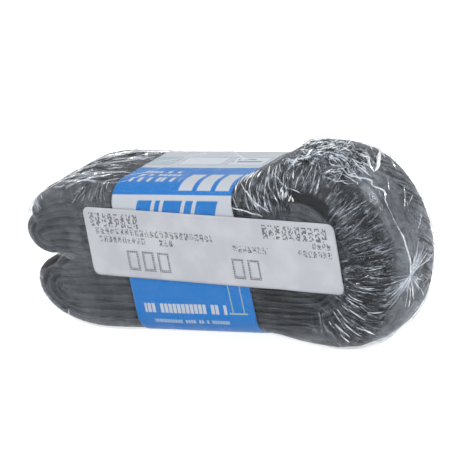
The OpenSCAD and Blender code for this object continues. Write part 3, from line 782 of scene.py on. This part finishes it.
def film_finish():
    """Clear film: lines of creases are milky (partly whitened film, partly painted highlight) or
    dark (painted shade), and between them it is clear and glossy.
    """
    finish = Finish("clear_film")
    times, ramp, grain, math_node = finish.times, finish.ramp, finish.grain, finish.math
    parts = finish.node("SeparateXYZ", {0: finish.node("UVMap", uv_map="flow")})
    s, w = parts.outputs[0], parts.outputs[1]
    gather, crown, streak, crimp, sweep, strip, low, band, milky = (finish.value(name) for name in (
        "gather", "crown", "streak", "crimp", "sweep", "strip", "low", "band", "milky"))

    def lines(across, along, sharp, seed, s=s):
        """Thin wandering lines, from 0 to 1: across and along are cells to the mm."""
        at = finish.node("CombineXYZ", {0: times(s, across), 1: times(w, along), 2: float(seed)})
        wander = finish.node("TexNoise", {"Vector": at, "Scale": 1.0, "Detail": 1.0,
                                          "Roughness": 0.55, "Distortion": 0.5}).outputs[0]
        off = math_node("ABSOLUTE", math_node("SUBTRACT", wander, 0.5))
        return ramp(off, 0.0, sharp, 1.0, 0.0)

    where = finish.coordinates()
    warp = finish.node("TexNoise", {"Vector": where, "Scale": 0.35, "Detail": 2.0}).outputs[1]
    shift = finish.node("VectorMath", {0: warp, 1: (9.0, 9.0, 9.0)}, operation="MULTIPLY")
    bent = finish.node("MixRGB", {0: 0.5, 1: where, 2: shift}, blend_type="ADD").outputs[0]
    net, fine_net = (ramp(finish.node("TexVoronoi", {"Vector": bent, "Scale": scale},
                                      feature="DISTANCE_TO_EDGE"), 0.0, width, 1.0, 0.0)
                     for scale, width in ((0.3, 0.08), (0.6, 0.11)))
    net = math_node("MAXIMUM", net, times(fine_net, 0.8))
    crimps = lines(0.7, 0.12, 0.045, 5)
    # milky lines along the creases: partly whitened film, partly painted highlight for the glints
    # on the creases
    pale = finish.total(
        (lines(0.55, 0.07, 0.04, 1), gather, 0.55), (lines(1.1, 0.16, 0.05, 2), gather, 0.4),
        (net, crown, 1.1), (lines(0.035, 0.5, 0.05, 3), streak, 0.9),
        (lines(0.07, 1.1, 0.05, 4), streak, 0.45), (crimps, crimp, 0.5))
    # painted shade: dark lines along the creases, the slanted sweeps and the flat strip, where the
    # film's shine and haze are taken away
    slanted = math_node("ADD", s, times(w, 0.75))
    dark = finish.total(
        (lines(0.62, 0.07, 0.07, 7), gather, 0.9), (lines(0.04, 0.55, 0.09, 8), streak, 0.9),
        (lines(0.34, 0.06, 0.07, 6, slanted), sweep, 0.9), (crimps, crimp, 0.5), (strip,))
    waves = finish.node("TexNoise", {"Vector": finish.coordinates((0.05, 0.3, 0.42)), "Scale": 1.0,
                                     "Detail": 2.0, "Distortion": 0.4}).outputs[0]
    low_waves = times(low, ramp(waves, 0.44, 0.56))
    busy = finish.total((gather,), (crown,), (streak,), (crimp,))
    height = finish.total((pale,), (grain(0.9, 5, 0.62), math_node("ADD", times(busy, 0.25), 0.06)))
    height = math_node("SUBTRACT", height, times(dark, 0.5))
    soft = finish.bump(math_node("ADD", grain(0.12, 2), low_waves), 0.3, 0.0006)
    normal = finish.bump(height, 0.8, 0.00042, soft)
    facing = finish.node("Fresnel", {"IOR": 1.42, "Normal": normal}).outputs[0]
    cling = ramp(grain(0.22, 4, 0.6), 0.4, 0.62, 0.45, 1.0)
    # calm: the painted shade of the dark lines takes shine and veil away; the band and the busy
    # regions lessen them too
    calm = math_node("SUBTRACT", 1.0, finish.total(
        (dark, 0.95), (band, 0.6), (low_waves, 0.55), (crown, 0.55), (gather, 0.4), (streak, 0.4)),
        clamp=True)
    shine = times(math_node("MINIMUM", facing, 0.24), times(cling, calm))
    clear = finish.node("BsdfTransparent", {"Color": (0.985, 0.988, 0.99)})
    gloss = finish.node("BsdfGlossy", {"Color": (0.87, 0.93, 1.0), "Roughness": 0.13,
                                       "Normal": normal})
    glossy = finish.node("MixShader", {0: shine, 1: clear, 2: gloss})
    milk = finish.node("BsdfDiffuse", {"Color": (0.75, 0.83, 0.94), "Normal": normal})
    patches = finish.total((ramp(grain(0.16, 3), 0.38, 0.62), 0.35),
                           (ramp(grain(0.45, 3), 0.4, 0.66), 0.5))
    cloudy = times(ramp(grain(0.09, 3), 0.3, 0.7, 0.07, 0.15),
                   ramp(grain(0.5, 4, 0.6), 0.36, 0.6, 0.5, 1.25))
    veil = times(milky, cloudy, calm)
    haze = math_node("ADD", times(pale, patches), math_node("ADD", veil, 0.004), clamp=True)
    finish.show(finish.node("MixShader", {0: haze, 1: glossy, 2: milk}))
    return finish


# ---------- rubber tube ----------
LAYERS, MID_GAP, VALVE_ROOM, TURN_ROOM = 8, 0.6, 11.6, 14.0
ROOM_END_X, ROOM_TAPER, CLEFT_SPREAD, TURN_X, TURN_FULLNESS = -11.067, 16.0, 1.2, 41.0, 0.2
UPPER_FOLD_X, FLAP_X, LOWER_FOLD_X, FLAP_LAYER, FLAP_REACH = -62.0, -64.0, -58.5, 7, 1.2
RUN_POINTS, FOLD_POINTS, SWELL, MOST_SWELL, EDGE_FROM = 34, 16, 0.455, 1.45, 0.9
FOLD_ORDER = [1, 6, -6, -3, 3, 4, -4, -5, 5, 2, -2, -7, 7, 8, -8, -1]


def room(x):
    return (MID_GAP / 2 + (VALVE_ROOM - MID_GAP) / 2 * ease(ROOM_END_X - ROOM_TAPER, ROOM_END_X, x)
            + (TURN_ROOM - VALVE_ROOM) / 2 * ease(BULGE_FROM, TURN_X, x)
            + CLEFT_SPREAD * ease(CLEFT_X + 8, CLEFT_X, x))


def crown_drop(x, y):
    ry = towards_bulb(EDGE_ROUND_Y, BULB_ROUND_Y, x)
    s = (abs(y) - HALF_D + ry) / ry
    return np.where(s <= 0, 0, towards_bulb(EDGE_ROUND, BULB_ROUND, x) * (
        1 - np.sqrt(1 - np.clip(s, 0, 1) ** 2)))


def layer_pitch(x, y, lower=False):
    """Height of one layer of the stack; outside the band the tube swells against the film."""
    lining = LINING_FREE + (LINING - LINING_FREE) * in_band(x, 3)
    drop = crown_drop(x, y) * (lower_edge(x) if lower else 1)
    return (half_height(x) - drop - lining - room(x)) / LAYERS


def layer_z(i, x, y):
    return np.sign(i) * (room(x) + (abs(i) - 0.5) * layer_pitch(x, y, i < 0))


def ring_path(y):
    """The one closed loop that the middle of the tube follows at depth y."""
    path = []
    for k, a in enumerate(FOLD_ORDER):
        b = FOLD_ORDER[(k + 1) % len(FOLD_ORDER)]
        leftward = k % 2 == 0
        fold_x = LOWER_FOLD_X if a < 0 else FLAP_X if a >= FLAP_LAYER else UPPER_FOLD_X
        u = np.linspace(0, 1, RUN_POINTS)
        x = fold_x + (TURN_X - fold_x) * (1 - u if leftward else u)
        path.append(np.stack([x, layer_z(a, x, y)], 1))
        q = np.linspace(0, math.pi, FOLD_POINTS)[1:-1]
        if leftward:
            za, zb = layer_z(a, fold_x, y), layer_z(b, fold_x, y)
            mid = (za + zb) / 2
            flap = a >= FLAP_LAYER
            inner, outer = (1, LAYERS) if a < 0 else (FLAP_LAYER, LAYERS) if flap else (
                1, FLAP_LAYER - 1)
            nest_r = abs(layer_z(outer, fold_x, y) - layer_z(inner, fold_x, y)) / 2
            reach = FLAP_REACH * nest_r if flap else (
                LOBE_REACH - LINING - TUBE_T / 2 - crown_drop(LOBE_X, y) + fold_x)
            lean = 0 if flap else np.sign(a) * LOBE_TIP_Z - mid
            share = abs(za - mid) / nest_r
            path.append(np.stack([fold_x - reach * share * np.sin(q), mid + (za - mid) * np.cos(q)
                                  + lean * share * np.sin(q)], 1))
        else:
            za = layer_z(a, TURN_X, y)
            first = abs(layer_z(1, TURN_X, y))
            last = BULB_REACH - LINING - TUBE_T / 2 - crown_drop(BULB_X, y) - TURN_X
            place = (abs(a) - 1) / (LAYERS - 1)
            reach = first + (last - first) * place
            zb = layer_z(b, TURN_X, y)
            x = TURN_X + reach * np.sin(q) ** (1 - TURN_FULLNESS * place)
            path.append(np.stack([x, np.where(q < math.pi / 2, za, -zb) * np.cos(q)], 1))
    return np.concatenate(path)


def build_tube():
    """One closed ribbon with rounded, slightly uneven long edges."""
    half = TUBE_W / 2
    outwards = np.array([0.15, 0.45, 0.72, 0.86, 0.94, 0.985, 1]) * half
    across = np.concatenate([-outwards[::-1], outwards])
    t = np.arange(len(ring_path(0.0)))
    wave = 0.45 * noise(columns(t / 9, 0, 0), 71) + 0.2 * noise(columns(t / 3, 0, 0), 72)
    sections = []
    for side in (1, -1):
        for k, y in enumerate(across if side == 1 else across[::-1]):
            path = ring_path(y)
            tangent = np.roll(path, -1, 0) - np.roll(path, 1, 0)
            normal = np.stack([-tangent[:, 1], tangent[:, 0]], 1)
            normal /= np.linalg.norm(normal, axis=1)[:, None]
            edge = (abs(y) - half * EDGE_FROM) / (half * 0.1)
            rounding = math.sqrt(max(0.0, 1 - edge ** 2)) if edge > 0 else 1.0
            if rounding == 0 and side == -1:
                continue
            pitch = layer_pitch(np.clip(path[:, 0], FLAP_X, TURN_X), y, True)
            swell = np.minimum(SWELL * pitch, MOST_SWELL) * (1 if abs(y) < half * 0.8 else 0.95)
            xz = path + normal * (side * rounding * swell)[:, None]
            slack = -np.abs(wave) * (abs(y) / half) ** 4 * np.sign(y)
            sections.append(np.stack([xz[:, 0], y + slack, xz[:, 1]], 1))
    grid = np.stack(sections, 1)
    n, m = grid.shape[:2]
    tube = make_mesh("tube", on_table(to_world(grid.reshape(-1, 3))), grid_faces(n, m, True, True))
    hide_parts("tube_body")
    dress(tube, rubber("tube_rubber", (0.012, 0.013, 0.0155), 0.55))
    return tube


def paler(colour):
    return tuple(c * 1.5 + 0.004 for c in colour)


def rubber(name, colour, rough):
    finish = Finish(name)
    patches = finish.grain(0.05, 3)
    dust = finish.grain(1.6, 4, 0.65)
    pale = paler(colour)
    base = finish.mix(finish.ramp(patches, 0.42, 0.72), colour, pale)
    base = finish.mix(finish.ramp(dust, 0.58, 0.75, 0, 0.35), base, pale)
    roughness = finish.ramp(patches, 0.35, 0.7, rough - 0.07, rough + 0.12)
    normal = finish.bump(finish.grain(2.5, 4, 0.6), 0.25, 0.00012)
    finish.surface({"Base Color": base, "Roughness": roughness, "Normal": normal,
                    "Specular IOR Level": 0.2, "Sheen Weight": 0.03, "Sheen Roughness": 0.5})
    return finish


# ---------- paper band ----------
BAND_STEP, BAND_INSET = 0.7, 0.22


def band_ring(g):
    """The band's cross-section as (y, z, v), with v 0 at the middle of the front face, growing
    upwards and over the top. It runs parallel to the film."""
    g = FILM_T + CLEAR + g
    a = np.linspace(0, math.pi / 2, 40)
    y = HALF_D - g - EDGE_ROUND_Y * (1 - np.cos(a))
    z = WAIST_H / 2 - g - EDGE_ROUND * (1 - np.sin(a))
    corner = np.stack([y, z], 1)
    bottom = np.array([[0, -corner[-1, 1]]])
    loop = np.concatenate([bottom, -corner[::-1], corner * [-1, 1], corner[::-1], corner * [1, -1],
                           bottom])
    length = run(loop)
    along = np.linspace(0, length[-1], int(length[-1] / BAND_STEP) + 1)
    ring = [np.interp(along, length, loop[:, c]) for c in (0, 1)]
    return np.stack(ring + [along - length[len(corner)] - corner[0, 1]], 1)


def build_band():
    ring = band_ring(BAND_INSET)
    xs = np.linspace(0, BAND_W, int(BAND_W / BAND_STEP))
    n, m = len(xs), len(ring)
    x = np.repeat(BAND_X + xs, m)
    y, z, v = (np.tile(ring[:, c], n) for c in range(3))
    out = np.stack([np.zeros(n * m), y / 20, z / 26], 1)
    out /= np.linalg.norm(out, axis=1)[:, None]
    p = np.stack([x, y, z], 1)
    ripple = 0.13 * layered(p / 11, 81) + 0.1 * ridges(columns(v / 5, x / 30, 0), 82, 1.2)
    p = p + out * ripple[:, None]
    p[:, 0] += 0.25 * noise(columns(v / 14, x / 40, 0), 83)
    faces = grid_faces(n, m)
    band = make_mesh("paper_wrap", to_world(p), faces)
    flat_map(band, "print", np.stack([x - BAND_X, v], 1))
    thick = band.modifiers.new("paper", "SOLIDIFY")
    thick.thickness = PAPER_T * MM
    thick.offset = -1
    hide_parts("paper_band")
    dress(band, band_print())
    return band


class Print(Finish):
    """A finish with a flat print, laid out by u and v in mm."""

    def __init__(self, name):
        super().__init__(name)
        parts = self.node("SeparateXYZ", {0: self.node("UVMap", uv_map="print")})
        self.u, self.v = parts.outputs[0], parts.outputs[1]

    def box(self, u0, u1, v0, v1, soft=0.12, u=None):
        """1 inside a rectangle."""
        sides = []
        for value, low, high in ((u or self.u, u0, u1), (self.v, v0, v1)):
            for edge, sign in ((low, 1), (high, -1)):
                sides.append(self.node("MapRange", {
                    0: value, 1: edge - soft * sign, 2: edge + soft * sign}).outputs[0])
        return self.times(*sides)

    def cell(self, value, pitch, part):
        """1 over the first part of every pitch."""
        return self.math("LESS_THAN", self.math("FRACT", self.math("DIVIDE", value, pitch)), part)

    def bars(self, u0, u1, v0, v1, pitch, seed, fill=0.62):
        """A row of plain bars of uneven lengths, which stands for a line of print."""
        number = self.math("FLOOR", self.math("DIVIDE", self.u, pitch))
        chance = self.node("TexWhiteNoise", {"W": self.math("ADD", number, seed)},
                           noise_dimensions="1D").outputs[0]
        on = self.math("LESS_THAN", chance, fill)
        return self.times(on, self.cell(self.u, pitch, 0.78), self.box(u0, u1, v0, v1))

    def dots(self, u0, u1, v0, v1, pitch, dot, seed, fill=0.5):
        """Cells of random print dots, which stand for a line of dot-matrix characters."""
        from_u, from_v = self.math("SUBTRACT", self.u, u0), self.math("SUBTRACT", self.v, v0)
        at = [self.math("FLOOR", self.math("DIVIDE", q, dot)) for q in (from_u, from_v)]
        chance = self.node("TexWhiteNoise", {"Vector": self.node("CombineXYZ", {
            0: at[0], 1: at[1], 2: float(seed)})}, noise_dimensions="3D").outputs[0]
        on = self.math("LESS_THAN", chance, fill)
        return self.times(on, self.cell(from_u, pitch, 0.74), self.box(u0, u1, v0, v1, 0.05))

    def outline_box(self, u0, u1, v0, v1, line):
        hole = self.box(u0 + line, u1 - line, v0 + line, v1 - line, 0.1)
        return self.math("SUBTRACT", self.box(u0, u1, v0, v1, 0.1), hole, clamp=True)


BLUE, PAPER_WHITE, PALE_GREY = (0.0, 0.165, 0.52), (0.52, 0.55, 0.6), (0.27, 0.33, 0.38)
PALE_LINE, SMALL_BLUE, SMALL_GREY = (0.36, 0.46, 0.34), (0.12, 0.19, 0.3), (0.13, 0.16, 0.2)
BLUE_FROM, BLUE_TO, LOW_BLUE_TO, BACK_BLUE_FROM = 23.0, 40.3, 8.0, 122.0


def band_print():
    """Blue and white print with plain generic shapes where the real one has words."""
    finish = Print("band_paper")
    box, bars = finish.box, finish.bars
    colour = finish.mix(box(-2, 60, BLUE_FROM, BLUE_TO), PAPER_WHITE, BLUE)
    for edge, soft in ((LOW_BLUE_TO + 0.1, -0.2), (BACK_BLUE_FROM, 0.2)):
        past = finish.node("MapRange", {0: finish.v, 1: edge, 2: edge + soft}).outputs[0]
        colour = finish.mix(past, colour, BLUE)
    # three broad bars and lines of print on the top's blue strip
    marks = [(box(27 + 7.6 * k, 32.6 + 7.6 * k, 24.5, 34), PAPER_WHITE) for k in range(3)]
    for k, (v0, v1) in enumerate(((28.2, 31.0), (32.4, 34.0), (35.2, 36.8))):
        marks.append((bars(4, 25 - 2 * k, v0, v1, 1.9, 10 * k + 3), PAPER_WHITE))
    slant = finish.math("SUBTRACT", finish.u, finish.times(finish.v, 0.45))
    for u0, u1 in ((1.5, 7.5), (9, 11), (12.5, 20), (21.5, 24.5), (26, 34.5)):
        marks.append((box(u0, u1, 15.2, 21.2, u=slant), BLUE))
    # the front's lower blue field
    marks.append((bars(4, 38, -17.6, -14.4, 1.75, 57, 0.86), PAPER_WHITE))
    marks.append((bars(7, 38, -21.2, -19.9, 1.1, 91, 0.8), (0.36, 0.48, 0.6)))
    for u0 in (40.3, 44.9):
        marks.append((box(u0, u0 + 0.35, -16.8, -2, 0.08), PALE_LINE))
    marks.append((box(38.9, 46.4, -17.4, -16.9, 0.08), PALE_LINE))
    # pale boxes on the top, with two lines of print
    for u0, u1 in ((0, 11), (13, 31), (33, 48)):
        marks.append((box(u0, u1, 43, 50.3), PALE_GREY))
        marks.append((box(u0 + 0.35, u1 - 0.35, 43.35, 49.95),
                      (0.4, 0.48, 0.53) if u0 == 0 else (0.62, 0.66, 0.71)))
    marks.append((bars(34, 46, 45.6, 47.0, 1.2, 33, 0.8), SMALL_BLUE))
    marks.append((bars(34, 44, 47.8, 48.8, 0.9, 37, 0.7), SMALL_BLUE))
    # rows of small print on the back
    marks.append((box(3, 46.3, 101, 106), BLUE))
    for k in range(9):
        v0 = 79.5 + 2.2 * k
        marks.append((bars(4, 44 - 5 * (k % 3), v0, v0 + 1.1, 1.0, 120 + 9 * k, 0.82), SMALL_GREY))
    for mask, paint in marks:
        colour = finish.mix(mask, colour, paint)
    fibre = finish.grain(1.2, 4, 0.6)
    colour = finish.mix(finish.ramp(fibre, 0.35, 0.75, 0, 0.1), colour, (0.5, 0.55, 0.62))
    normal = finish.bump(finish.grain(0.35, 4, 0.6), 0.2, 0.0005)
    finish.surface({"Base Color": colour, "Roughness": finish.ramp(fibre, 0.3, 0.7, 0.38, 0.5),
                    "Normal": normal, "Specular IOR Level": 0.15})
    return finish


# ---------- label ----------
LABEL_STEP, LABEL_LIFT, LABEL_SMOOTHING, PROBE_FROM = 0.8, 0.12, 14, 6


def build_label(film):
    """The label lies on the film, and bridges its small creases."""
    bpy.context.view_layer.update()
    tree = BVHTree.FromObject(film, bpy.context.evaluated_depsgraph_get())
    cols, rows = int(LABEL_L / LABEL_STEP), int(LABEL_H / LABEL_STEP)
    a = np.linspace(-1, 1, cols) * LABEL_L / 2
    b = np.linspace(-1, 1, rows) * LABEL_H / 2
    a, b = [q.ravel() for q in np.meshgrid(a, b, indexing="ij")]
    # pull the corners in to their radius
    ca, cb = LABEL_L / 2 - LABEL_R, LABEL_H / 2 - LABEL_R
    over_a, over_b = np.clip(np.abs(a) - ca, 0, None), np.clip(np.abs(b) - cb, 0, None)
    reach = np.hypot(over_a, over_b)
    largest = np.maximum(over_a, over_b)
    pull = np.where(reach > 1e-6, largest / np.maximum(reach, 1e-6), 1)
    a = np.sign(a) * (np.minimum(np.abs(a), ca) + over_a * pull)
    b = np.sign(b) * (np.minimum(np.abs(b), cb) + over_b * pull)
    c, s = math.cos(-LABEL_TURN), math.sin(-LABEL_TURN)
    flat = columns(LABEL_X + a * c + b * s, -HALF_D - PROBE_FROM, LABEL_Z - a * s + b * c)
    start = to_world(flat)
    depth = np.zeros(len(a))
    for k, q in enumerate(start):
        hit = tree.ray_cast(Vector(q), Vector((0, 1, 0)))
        depth[k] = to_bundle(np.array([hit[0]]))[0, 1] if hit[0] else -HALF_D
    depth = depth.reshape(cols, rows)
    for _ in range(LABEL_SMOOTHING):
        depth[1:-1] = (depth[:-2] + 2 * depth[1:-1] + depth[2:]) / 4
        depth[:, 1:-1] = (depth[:, :-2] + 2 * depth[:, 1:-1] + depth[:, 2:]) / 4
    flat[:, 1] = depth.ravel() - LABEL_LIFT
    label = make_mesh("price_sticker", to_world(flat), grid_faces(cols, rows))
    flat_map(label, "print", np.stack([a + LABEL_L / 2, b + LABEL_H / 2], 1))
    thick = label.modifiers.new("paper", "SOLIDIFY")
    thick.thickness = LABEL_T * MM
    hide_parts("price_label")
    dress(label, label_print())
    return label


# Rows of dots as (u from, u to, v from, v to, pitch, dot, seed), and the dotted boxes' left edges
DOT_ROWS = ((2.2, 22.3, 17.3, 22.0, 2.6, 0.52, 5, 0.52), (73, 99, 17.3, 22.0, 2.6, 0.52, 7, 0.52),
            (4, 52, 14.6, 17.0, 2.05, 0.36, 11), (92, 99.2, 14.8, 17.0, 1.9, 0.36, 23),
            (5, 24, 11.9, 14.1, 1.95, 0.36, 13), (30, 36, 11.9, 14.1, 1.95, 0.36, 17),
            (60, 74, 11.9, 14.1, 1.95, 0.36, 19, 0.45), (86, 99.5, 11.9, 14.1, 1.95, 0.36, 29))
BOXES_U, BOX_W, BOX_FROM, BOX_TO = (15.5, 21.8, 28.1, 58.5, 64.8), 4.8, 2.6, 9.6


def label_print():
    """Rows of random dots and plain boxes in grey ink, with no characters."""
    finish = Print("label_paper")
    marks = [finish.dots(*row) for row in DOT_ROWS]
    dotted = finish.times(*(finish.cell(q, 0.8, 0.84) for q in (finish.u, finish.v)))
    for u0 in BOXES_U:
        box = finish.outline_box(u0, u0 + BOX_W, BOX_FROM, BOX_TO, 0.9)
        marks.append(finish.times(box, dotted))
    ink = marks[0]
    for mark in marks[1:]:
        ink = finish.math("MAXIMUM", ink, mark)
    ink = finish.times(ink, finish.ramp(finish.grain(1.4, 3, 0.6), 0.3, 0.6, 0.6, 1.0))
    paper = finish.mix(finish.ramp(finish.grain(0.1, 3), 0.35, 0.7), (0.46, 0.475, 0.52),
                       (0.53, 0.545, 0.58))
    finish.surface({"Base Color": finish.mix(ink, paper, (0.1, 0.105, 0.12)),
                    "Roughness": finish.ramp(finish.grain(0.6, 3), 0.3, 0.7, 0.4, 0.55),
                    "Normal": finish.bump(finish.grain(0.8, 4, 0.6), 0.12, 0.0003),
                    "Specular IOR Level": 0.4})
    return finish


# ---------- materials of the valve's solids, which keep their CAD shapes ----------
def metal(name, colour, rough, along=(1, 1, 1)):
    finish = Finish(name)
    turned = finish.grain(3.0, 3, 0.6, finish.coordinates(along))
    tarnish = finish.grain(0.25, 3)
    base = finish.mix(finish.ramp(tarnish, 0.4, 0.7), colour, tuple(c * 0.72 for c in colour))
    finish.surface({"Base Color": base, "Metallic": 1.0,
                    "Roughness": finish.ramp(turned, 0.3, 0.7, rough - 0.06, rough + 0.1),
                    "Normal": finish.bump(turned, 0.2, 0.00005)})
    return finish


def plastic(name, colour, rough):
    finish = Finish(name)
    moulded = finish.grain(1.8, 4, 0.6)
    base = finish.mix(finish.ramp(moulded, 0.35, 0.7), colour, paler(colour))
    finish.surface({"Base Color": base,
                    "Roughness": finish.ramp(moulded, 0.3, 0.7, rough - 0.05, rough + 0.1),
                    "Normal": finish.bump(moulded, 0.2, 0.00008)})
    return finish


# The coil's ends are lengths along the stem from its base
STEM_BASE_X, COIL_FROM, COIL_TO, COIL_TURNS, WIRE_D, COIL_R = 46.985, 33.575, 39.425, 7, 0.25, 1.025
PIN_TRAVEL, COIL_STEPS, WIRE_SIDES = 1.5, 28, 8


def build_spring():
    """The core's spring as a piece of its own."""
    t = np.linspace(0, 1, COIL_TURNS * COIL_STEPS + 1)
    turn = 2 * math.pi * COIL_TURNS * t
    around = np.arange(WIRE_SIDES) * 2 * math.pi / WIRE_SIDES
    r = COIL_R + WIRE_D / 2 * np.cos(around)[None, :]
    along = COIL_FROM + (COIL_TO - COIL_FROM) * t[:, None] + WIRE_D / 2 * np.sin(around)[None, :]
    turn = turn[:, None]
    points = np.stack([STEM_BASE_X - along, r * np.sin(turn), r * np.cos(turn)], 2)
    faces = [tuple(f) for f in grid_faces(len(t), WIRE_SIDES, wrap_cols=True)]
    last = (len(t) - 1) * WIRE_SIDES
    faces += [tuple(range(WIRE_SIDES))[::-1], tuple(range(last, last + WIRE_SIDES))]
    spring = make_mesh("coil", to_world(points.reshape(-1, 3)), faces)
    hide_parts("core_spring")
    dress(spring, metal("spring_steel", (0.6, 0.61, 0.63), 0.28))
    anchor = to_world(np.array([[STEM_BASE_X - COIL_FROM + WIRE_D / 2, 0, 0]]))[0]
    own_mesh(spring)


def dress_valve():
    moulded = rubber("patch_rubber", (0.026, 0.026, 0.028), 0.5)
    seal = rubber("seal_rubber", (0.04, 0.04, 0.043), 0.6)
    brass = metal("stem_brass", (0.72, 0.53, 0.24), 0.26, (4, 0.5, 0.5))
    core = metal("core_brass", (0.66, 0.49, 0.23), 0.32, (4, 0.5, 0.5))
    red = plastic("gasket_red", (0.6, 0.09, 0.06), 0.4)
    black = plastic("cap_plastic", (0.02, 0.02, 0.022), 0.42)
    for finish, nodes in ((moulded, ("valve_patch", "valve_sheath")), (brass, ("valve_stem",)),
                          (core, ("core_plug", "core_barrel", "core_pin", "core_cup")),
                          (seal, ("cup_seal", "cap_seal")), (red, ("core_gasket",)),
                          (black, ("valve_cap",))):
        for node in nodes:
            dress(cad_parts[node], finish)


add_camera()
add_studio()
build_tube()
build_band()
film, skin = build_film()
add_creases(skin)
build_label(film)
build_spring()
dress_valve()
